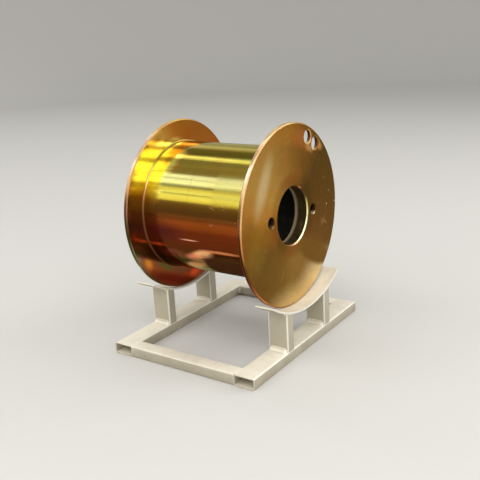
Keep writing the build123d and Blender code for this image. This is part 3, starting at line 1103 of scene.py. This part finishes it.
# Tints and stains of the inner faces, at degrees from straight up; the bright gold from about 27 to 57
# degrees is a painted reflection of the barrel's bright bands
INNER_TONES_AND_GLOW = (
    (-180, (136, 56, 34)), (-120, (160, 86, 36)), (-60, (160, 92, 36)), (-20, (156, 92, 34)),
    (0, (162, 102, 32)), (12, (176, 116, 44)), (20, (188, 136, 56)), (27, (226, 190, 96)),
    (37, (224, 188, 90)), (44, (240, 220, 104)), (57, (238, 214, 100)), (66, (190, 142, 70)),
    (71, (160, 108, 66)), (80, (196, 176, 130)), (90, (164, 164, 144)), (100, (172, 160, 140)),
    (110, (184, 146, 116)), (120, (150, 96, 64)), (130, (160, 84, 48)), (140, (140, 74, 42)),
    (160, (142, 56, 38)),
)
INNER_STAINS = (
    (0.158, 147, 0.012, 24, (78, 92, 44)), (0.160, 172, 0.014, 18, (104, 70, 50)),
    (0.184, 160, 0.016, 34, (166, 50, 34)), (0.178, -173, 0.014, 12, (226, 80, 40)),
    (0.180, 127, 0.014, 8, (238, 150, 46)), (0.184, 101, 0.012, 7, (255, 140, 70)),
    (0.184, 25, 0.018, 12, (172, 118, 46)), (0.154, 13, 0.013, 19, (236, 198, 104)),
)


def inner_face(tree, vector):
    """The polished inner face of a flange, orange, with a painted gold reflection of the barrel above the
    front, and red and green stains low down.

    A stain is an ellipse in radius and angle, given as both, its reach in each, and its colour."""
    place = place_group(tree, "drum place", Vector=vector)
    cloud = noise(tree, vector, 12)
    tone = turn_ramp(tree, swayed(tree, place["Turn"], cloud, 0.05), INNER_TONES_AND_GLOW)
    around = combined(tree, 0.0, place["Radius"], place["Turn"])
    tone = spotted(tree, around, tone, [
        ({"Place": (0, radius, degrees / 360), "Size": (1, reach, spread / 360)}, 0.05, 0.85, 0.8, screen)
        for radius, degrees, reach, spread, screen in INNER_STAINS
    ])
    tone = clouded(tree, vector, tone, 0.3, 0.05)["Color"]
    rings = tool_marks(tree, place["Radius"], 1600)
    roughness = raised(tree, 0.1, (cloud, 0.08))
    surface(tree, tone, roughness, 1.0, rings, 0.004 * MM, bpy.context.scene.drum_look.glance)


def edge_zinc(tree, vector, tones, level, strength=0.3, metallic=1.0, spots=(), glance=None):
    """Passivate on a narrow edge, a wall or a weld, with fine marks round the axis, and painted highlights
    and shade in its tints.

    tones gives its tint at degrees from straight up, positive towards the front. level is its roughness."""
    place = place_group(tree, "drum place", Vector=vector)
    tone = spotted(tree, vector, turn_ramp(tree, place["Turn"], tones), spots)
    tone = clouded(tree, vector, tone, strength, 0.03)
    marks = tool_marks(tree, place["Along"], 1500)
    roughness = raised(tree, level - 0.07, (tone["Cloud"], 0.15))
    glance = glance or bpy.context.scene.drum_look.glance
    surface(tree, tone["Color"], roughness, metallic, marks, 0.008 * MM, glance)


# Tints of the rims, the chamfered edges, the bore's edge, the barrel's welds and the small holes. Much of
# them is painted light: pale cream to white highlights where lamps would glint on the rims, edges, welds and
# the lower rear of the bore's edge, and painted shade and dark reflections lower down and on the small holes'
# walls
RIM_TONES = (
    (-180, (120, 80, 50)), (-30, (150, 110, 70)), (0, (238, 182, 108)), (10, (232, 180, 118)),
    (20, (250, 214, 150)), (30, (226, 198, 158)), (40, (240, 200, 160)), (50, (236, 220, 196)),
    (60, (198, 174, 134)), (70, (136, 110, 68)), (80, (160, 112, 66)), (90, (88, 46, 20)),
    (110, (66, 30, 12)), (120, (96, 48, 30)), (130, (148, 72, 60)), (140, (96, 40, 20)),
    (150, (86, 44, 18)),
)
EDGE_TONES = (
    (-180, (200, 144, 90)), (-70, (110, 64, 36)), (-42, (130, 80, 42)), (-20, (230, 186, 128)),
    (0, (255, 222, 160)), (20, (226, 190, 140)), (38, (208, 168, 122)), (50, (214, 178, 144)),
    (60, (206, 166, 118)), (70, (218, 172, 120)), (80, (255, 206, 150)), (90, (212, 148, 98)),
    (100, (186, 128, 76)), (108, (110, 68, 34)), (120, (122, 64, 30)), (130, (180, 110, 80)),
    (140, (228, 152, 116)), (150, (198, 122, 72)),
)
LEFT_RIM_TONES = (
    (-180, (100, 60, 40)), (-50, (160, 110, 64)), (-30, (176, 126, 70)), (-18, (214, 160, 92)),
    (-8, (246, 196, 120)), (0, (255, 222, 142)), (10, (246, 200, 120)), (20, (236, 196, 140)),
    (30, (240, 210, 182)), (40, (232, 196, 164)), (50, (218, 200, 182)), (60, (188, 160, 124)),
    (70, (160, 124, 82)), (80, (104, 70, 32)), (90, (70, 58, 30)), (110, (56, 58, 20)),
    (119, (72, 70, 34)), (124, (190, 180, 150)), (131, (140, 124, 100)), (140, (112, 90, 58)),
    (160, (116, 90, 62)),
)
LEFT_EDGE_TONES = (
    (-180, (110, 66, 44)), (-60, (124, 78, 44)), (-25, (210, 158, 100)), (-8, (246, 196, 124)),
    (0, (240, 196, 122)), (10, (232, 190, 120)), (20, (196, 150, 104)), (30, (200, 156, 118)),
    (50, (186, 140, 92)), (62, (176, 130, 76)), (70, (178, 132, 96)), (80, (186, 132, 106)),
    (90, (112, 88, 62)), (100, (76, 56, 28)), (110, (122, 122, 84)), (122, (126, 122, 96)),
    (130, (100, 84, 56)), (150, (110, 80, 56)),
)
BORE_EDGE_TONES = (
    (-180, (236, 172, 140)), (-166, (250, 222, 176)), (-148, (252, 248, 204)), (-115, (252, 252, 204)),
    (-95, (255, 255, 180)), (-76, (200, 194, 116)), (-60, (92, 72, 44)), (-38, (104, 56, 44)),
    (-31, (224, 140, 126)), (-24, (108, 54, 44)), (10, (120, 78, 52)), (60, (176, 130, 88)),
    (120, (176, 130, 88)), (150, (146, 88, 60)),
)
WELD_TONES = (
    (-180, (110, 66, 42)), (-50, (112, 80, 46)), (-20, (196, 156, 92)), (4, (210, 176, 96)),
    (14, (160, 140, 56)), (24, (146, 134, 54)), (36, (156, 126, 46)), (45, (226, 196, 92)),
    (56, (246, 214, 112)), (66, (186, 136, 84)), (90, (124, 82, 54)), (130, (112, 66, 46)),
)
HOLE_TONES = ((-180, (80, 54, 28)), (0, (84, 54, 26)))
WELD_GLANCE = (200, 160, 90)


def painted_hole_highlights():
    """Painted highlights: the paler lower part of each small hole's wall, where light would fall on it."""
    lead = [MOUNTS[f"lead_hole_{number}"]["pos_m"] for number in (1, 2)]
    drive = [OPENINGS[f"right_{row}_drive_hole"].mean(0) for row in ROWS]
    spots = []
    for places, aside, down, half_length, half_width, screen in (
        (lead, -0.001, 0.013, 0.015, 0.013, (252, 206, 140)),
        (drive[:1], 0.006, 0.011, 0.008, 0.007, (164, 128, 86)),
        (drive[1:], 0.004, 0.010, 0.009, 0.008, (236, 222, 180)),
    ):
        for _, y, z in places:
            spot = on_face(y + aside, z - AXIS_HEIGHT - down, half_length, half_width, x=0, depth=1)
            spots.append((spot, 0.1, 0.85, 1.0, screen))
    return spots


def hub_zinc(tree, vector):
    """The inside of a hub ring: dark, with a paler band at its inner end, partly bare turned metal and partly
    painted light.
    """
    along = maths(tree, "ABSOLUTE", separated(tree, vector)["X"])
    cloud = noise(tree, vector, 60, 4, 0.6)
    dark = colour_ramp(tree, cloud, [(0.3, (70, 58, 34)), (0.7, (120, 98, 60))])
    band = fade(tree, along, *(HUB_LOW[0] + depth for depth in LIT_BARE_BAND))
    colour = mixed(tree, band, dark, linear(LIT_BARE_HUB))
    roughness = fade(tree, band, 0, 1, 0.4, 0.62)
    metallic = fade(tree, band, 0, 1, 0.75, 0.3)
    surface(tree, colour, roughness, metallic, cloud, 0.02 * MM, bpy.context.scene.drum_look.glance)


def cradle_paint(tree, vector, grime_share=1.0, bright_sides=False):
    """Brushed off-white paint, dirtier low down, with drips and small chips.

    It is lighter on faces that point up and greyer on upright ones, as painted light and shade, and whiter on
    rounded corners and, when that is asked for, also on the narrow sides of a plate, as painted highlights."""
    look = bpy.context.scene.cradle_look
    cloud = noise(tree, vector, 18, 5, 0.6)
    drips = noise(tree, add_node(tree, "Mapping", {"Vector": vector, "Scale": DRIP_SCALE}).outputs[0])
    low = fade(tree, separated(tree, vector)["Z"], 0.03, 0.0)
    parts = ((fade(tree, drips, 0.5, 0.8), 0.12), (low, product(tree, cloud, 0.4)))
    dirt = raised(tree, product(tree, fade(tree, cloud, 0.4, 0.8), 0.16), *parts)
    dirt = maths(tree, "MULTIPLY", dirt, grime_share, clamp=True)
    facing = add_node(tree, "Attribute", attribute_name=FACING, attribute_type="GEOMETRY").outputs["Vector"]
    facing = separated(tree, facing)
    # Painted light and shade: lighter where a face points up, greyer where it stands upright
    lit_from_above = swayed(tree, facing["Z"], cloud, 0.3)
    colour = mixed(tree, fade(tree, lit_from_above, 0.15, 0.8), look.shaded_side_paint, look.paint)
    # Painted highlights on rounded corners, and on the narrow sides of a plate when asked for
    across = maths(tree, "ABSOLUTE", facing["X"])
    corner = fade(tree, product(tree, across, maths(tree, "SUBTRACT", 1, across)), 0.08, 0.2)
    if bright_sides:
        corner = maths(tree, "MAXIMUM", corner, fade(tree, across, 0.2, 0.6))
    colour = stained(tree, colour, corner, 0.8, PAINT_EDGE_HIGHLIGHT)
    colour = mixed(tree, dirt, colour, look.grime)
    chips = {"Vector": vector, "Cells": 60.0, "Size": 0.09, "Share": 0.07}
    colour = laid_over(tree, colour, PAINT_CHIP, 0.7 * grime_share, "specks", **chips)
    peel, brush = noise(tree, vector, 700, 2), noise(tree, vector, 90)
    height = raised(tree, peel, (brush, 1.5))
    surface(tree, colour, raised(tree, 0.3, (cloud, 0.22)), 0.0, height, 0.06 * MM)


def floor_finish(tree, _, tone):
    """The plain matt floor."""
    surface(tree, tone, 0.9, 0.0)


# Stage
CAMERA_PLACE = (0.9087, -1.2733, 0.6942)
CAMERA_AZIMUTH, CAMERA_PITCH, CAMERA_ROLL = 35.034, 14.689, 3.184
FRAME_PIXELS = 480
FOCUS_PIXELS = 710.08
AXIS_PIXEL = (240.5, 215.0)
CAMERA_REACH = 100
FLOOR_MIDDLE, FLOOR_RADIUS, FLOOR_BEND, WALL_HEIGHT = 0.2, 9.0, 2.5, 3.8
LAMP_DISTANCE = 4.0

# Left and right end of the long lamps and of those on the right, in metres
LONG, RIGHT = (-7.0, 7.0), (1.9, 6.0)

# Each lamp's lower and upper tilt in degrees, its ends, and its share of brightness
LAMPS = {
    "lamp_top": (-19.4, -11.0, *LONG, 1.0),
    "lamp_high_rear": (23.2, 30.2, *LONG, 1.0),
    "lamp_high_front": (31.8, 41.6, *LONG, 1.0),
    "lamp_low_rear": (47.2, 57.0, *LONG, 0.9),
    "lamp_low_front": (59.4, 70.6, *LONG, 0.9),
    "lamp_back": (-57.4, -43.4, *LONG, 0.25),
    "lamp_right_high": (1.0, 20.0, *RIGHT, 1.0),
    "lamp_right_top": (-36.0, -20.0, *RIGHT, 1.0),
    "lamp_right_back": (-66.0, -54.0, *RIGHT, 2.4),
}


def add_lamp(name, low, high, left, right, radiance):
    """A soft lamp that runs beside the drum's axis from left to right, between two tilts, in degrees.

    A tilt is measured from straight up towards the front. The lamp is 2 distance tan(half its angle) wide,
    and its power is pi radiance times its area."""
    tilt = math.radians(low + high) / 2
    width = 2 * LAMP_DISTANCE * math.tan(math.radians(high - low) / 2)
    data = bpy.data.lights.new(name, "AREA")
    data.shape = "RECTANGLE"
    data.size, data.size_y = right - left, width
    data.energy = radiance * math.pi * data.size * width
    aside = -LAMP_DISTANCE * math.sin(tilt)
    up = AXIS_HEIGHT + LAMP_DISTANCE * math.cos(tilt)
    lamp = bpy.data.objects.new(name, data)
    lamp.matrix_world = Matrix.Translation(((left + right) / 2, aside, up)) @ Matrix.Rotation(tilt, 4, "X")
    bpy.context.scene.collection.objects.link(lamp)


def add_floor(tone):
    """A round floor that curves up into a low wall: an outline (radius, height) spun about the Z axis."""
    corners = [(0, 0), (FLOOR_RADIUS, 0), (FLOOR_RADIUS, 2 * WALL_HEIGHT)]
    bend = rounded_chain(corners, [FLOOR_BEND], FLOOR_ARC_STEPS)
    outline = np.concatenate([[(FLOOR_MIDDLE, 0)], bend, [(FLOOR_RADIUS, WALL_HEIGHT)]])
    angles = full_circle(FLOOR_STEPS)
    across, up = outline[:, :1], outline[:, 1:]
    grid = np.stack(np.broadcast_arrays(across * np.cos(angles), across * np.sin(angles), up), -1)
    rings = grid_faces(len(outline), len(angles), close_columns=True).tolist()
    mesh = bpy.data.meshes.new("floor")
    mesh.from_pydata(grid.reshape(-1, 3).tolist(), [], [list(range(len(angles))), *rings])
    mesh.shade_smooth()
    mesh.materials.append(finish("pale floor", floor_finish, tone))
    floor = bpy.data.objects.new("floor", mesh)
    bpy.context.scene.collection.objects.link(floor)


def add_surround(strength):
    """The even light from all round."""
    world = bpy.data.worlds.new("surround")
    world.use_nodes = True
    background = world.node_tree.nodes["Background"].inputs
    background["Color"].default_value = (1, 1, 1, 1)
    background["Strength"].default_value = strength
    bpy.context.scene.world = world


def add_camera():
    """The camera, at the place and angle that the photograph's ellipses and edges give."""
    data = bpy.data.cameras.new("camera")
    data.lens = FOCUS_PIXELS / FRAME_PIXELS * data.sensor_width
    data.shift_x = (FRAME_PIXELS / 2 - AXIS_PIXEL[0]) / FRAME_PIXELS
    data.shift_y = (AXIS_PIXEL[1] - FRAME_PIXELS / 2) / FRAME_PIXELS
    data.clip_end = CAMERA_REACH
    camera = bpy.data.objects.new("camera", data)
    camera.matrix_world = (
        Matrix.Translation(CAMERA_PLACE)
        @ Matrix.Rotation(math.radians(CAMERA_AZIMUTH), 4, "Z")
        @ Matrix.Rotation(math.radians(90 - CAMERA_PITCH), 4, "X")
        @ Matrix.Rotation(math.radians(-CAMERA_ROLL), 4, "Z")
    )
    bpy.context.scene.collection.objects.link(camera)
    bpy.context.scene.camera = camera


# Operators, panel and registration
class DRUM_OT_effects(bpy.types.Operator):
    """Makes the node groups that the finishes share"""

    bl_idname = "cable_drum.effects"
    bl_label = "Shared Effects"

    def execute(self, context):
        for make in SHARED_EFFECTS:
            make()
        return {"FINISHED"}


class DRUM_OT_flanges(bpy.types.Operator):
    """Builds the two flanges, with their bores, drive holes and lead-out holes"""

    bl_idname = "cable_drum.flanges"
    bl_label = "Flanges"

    def execute(self, context):
        inner, hub = finish("inner face zinc", inner_face), finish("hub zinc", hub_zinc)
        hole = finish("hole zinc", edge_zinc, HOLE_TONES, 0.5, 0.2, 0.6, painted_hole_highlights())
        bore_edge = finish("bore edge zinc", edge_zinc, BORE_EDGE_TONES, 0.28, 0.15)
        for side_name, spots, rim_tones, rim_roughness, edge_tones in (
            ("right", FACE_SHEEN_AND_STAINS, RIM_TONES, 0.26, EDGE_TONES),
            ("left", (), LEFT_RIM_TONES, 0.3, LEFT_EDGE_TONES),
        ):
            face = finish(f"{side_name} face zinc", turned_face, spots)
            rim = finish(f"{side_name} rim zinc", edge_zinc, rim_tones, rim_roughness)
            edge = finish(f"{side_name} edge zinc", edge_zinc, edge_tones, 0.3)
            flange(side_name, [face, rim, inner, hub, edge, hole, bore_edge])
        return {"FINISHED"}


class DRUM_OT_barrel(bpy.types.Operator):
    """Builds the barrel, with the welds that join it to the flanges"""

    bl_idname = "cable_drum.barrel"
    bl_label = "Barrel"

    def execute(self, context):
        weld = finish("weld zinc", edge_zinc, WELD_TONES, 0.4, glance=linear(WELD_GLANCE))
        barrel([finish("barrel zinc", barrel_zinc), finish("barrel inside", barrel_inside), weld])
        return {"FINISHED"}


class DRUM_OT_hub_rings(bpy.types.Operator):
    """Builds the hub rings inside the barrel"""

    bl_idname = "cable_drum.hub_rings"
    bl_label = "Hub Rings"

    def execute(self, context):
        for side_name in SIDES:
            hub_ring(side_name, [finish("hub zinc", hub_zinc)])
        return {"FINISHED"}


class DRUM_OT_cradle_frame(bpy.types.Operator):
    """Builds the cross beams and the rails that lie on the floor"""

    bl_idname = "cable_drum.cradle_frame"
    bl_label = "Cradle Frame"

    def execute(self, context):
        paint = finish("cradle paint", cradle_paint)
        for side_name in SIDES:
            cross_beam(side_name, paint)
        for row_name in ROWS:
            rail(row_name, paint)
        return {"FINISHED"}


class DRUM_OT_posts(bpy.types.Operator):
    """Builds the four posts"""

    bl_idname = "cable_drum.posts"
    bl_label = "Posts"

    def execute(self, context):
        for side_name in SIDES:
            for row_name in ROWS:
                post(side_name, row_name, finish("cradle paint", cradle_paint))
        return {"FINISHED"}


class DRUM_OT_saddles(bpy.types.Operator):
    """Builds the two curved saddle plates"""

    bl_idname = "cable_drum.saddles"
    bl_label = "Saddles"

    def execute(self, context):
        for side_name in SIDES:
            saddle(side_name, finish("plate paint", cradle_paint, bright_sides=True))
        return {"FINISHED"}


class DRUM_OT_weld_beads(bpy.types.Operator):
    """Builds the weld beads of the posts and of the frame's corners"""

    bl_idname = "cable_drum.weld_beads"
    bl_label = "Weld Beads"

    def execute(self, context):
        paint = finish("weld paint", cradle_paint, 0.4)
        for side_name in SIDES:
            for row_name in ROWS:
                post_beads(side_name, row_name, paint)
                frame_beads(side_name, row_name, paint)
        return {"FINISHED"}


class DRUM_OT_stage(bpy.types.Operator):
    """Sets the floor, the light and the camera"""

    bl_idname = "cable_drum.stage"
    bl_label = "Stage"

    def execute(self, context):
        look = context.scene.stage_look
        add_floor(look.floor_tone)
        add_surround(look.surround)
        for name, (*reach, share) in LAMPS.items():
            add_lamp(name, *reach, share * look.lamp_radiance)
        add_camera()
        context.scene.view_settings.view_transform = "Standard"
        return {"FINISHED"}


class DRUM_PT_panel(bpy.types.Panel):
    """Lists the sizes, the colours and the pieces"""

    bl_idname = "DRUM_PT_panel"
    bl_label = "Cable Drum"
    bl_space_type = "VIEW_3D"
    bl_region_type = "UI"
    bl_category = "Cable Drum"

    def draw(self, context):
        for name, kind in LOOKS.items():
            column = self.layout.column(align=True)
            for key in kind.__annotations__:
                column.prop(getattr(context.scene, name), key)
        for operator in OPERATORS:
            self.layout.operator(operator.bl_idname)


OPERATORS = (
    DRUM_OT_effects, DRUM_OT_flanges, DRUM_OT_barrel, DRUM_OT_hub_rings, DRUM_OT_cradle_frame, DRUM_OT_posts,
    DRUM_OT_saddles, DRUM_OT_weld_beads, DRUM_OT_stage,
)
LOOKS = {"drum_look": DrumLook, "cradle_look": CradleLook, "stage_look": StageLook}
CLASSES = (*LOOKS.values(), *OPERATORS, DRUM_PT_panel)


def register():
    for entry in CLASSES:
        bpy.utils.register_class(entry)
    for name, look in LOOKS.items():
        setattr(bpy.types.Scene, name, bpy.props.PointerProperty(type=look))


def unregister():
    for entry in reversed(CLASSES):
        bpy.utils.unregister_class(entry)
    for name in LOOKS:
        delattr(bpy.types.Scene, name)


def main():
    register()
    bpy.ops.cable_drum.effects()
    bpy.ops.cable_drum.flanges()
    bpy.ops.cable_drum.barrel()
    bpy.ops.cable_drum.hub_rings()
    bpy.ops.cable_drum.cradle_frame()
    bpy.ops.cable_drum.posts()
    bpy.ops.cable_drum.saddles()
    bpy.ops.cable_drum.weld_beads()
    bpy.ops.cable_drum.stage()


if __name__ == "__main__":
    main()
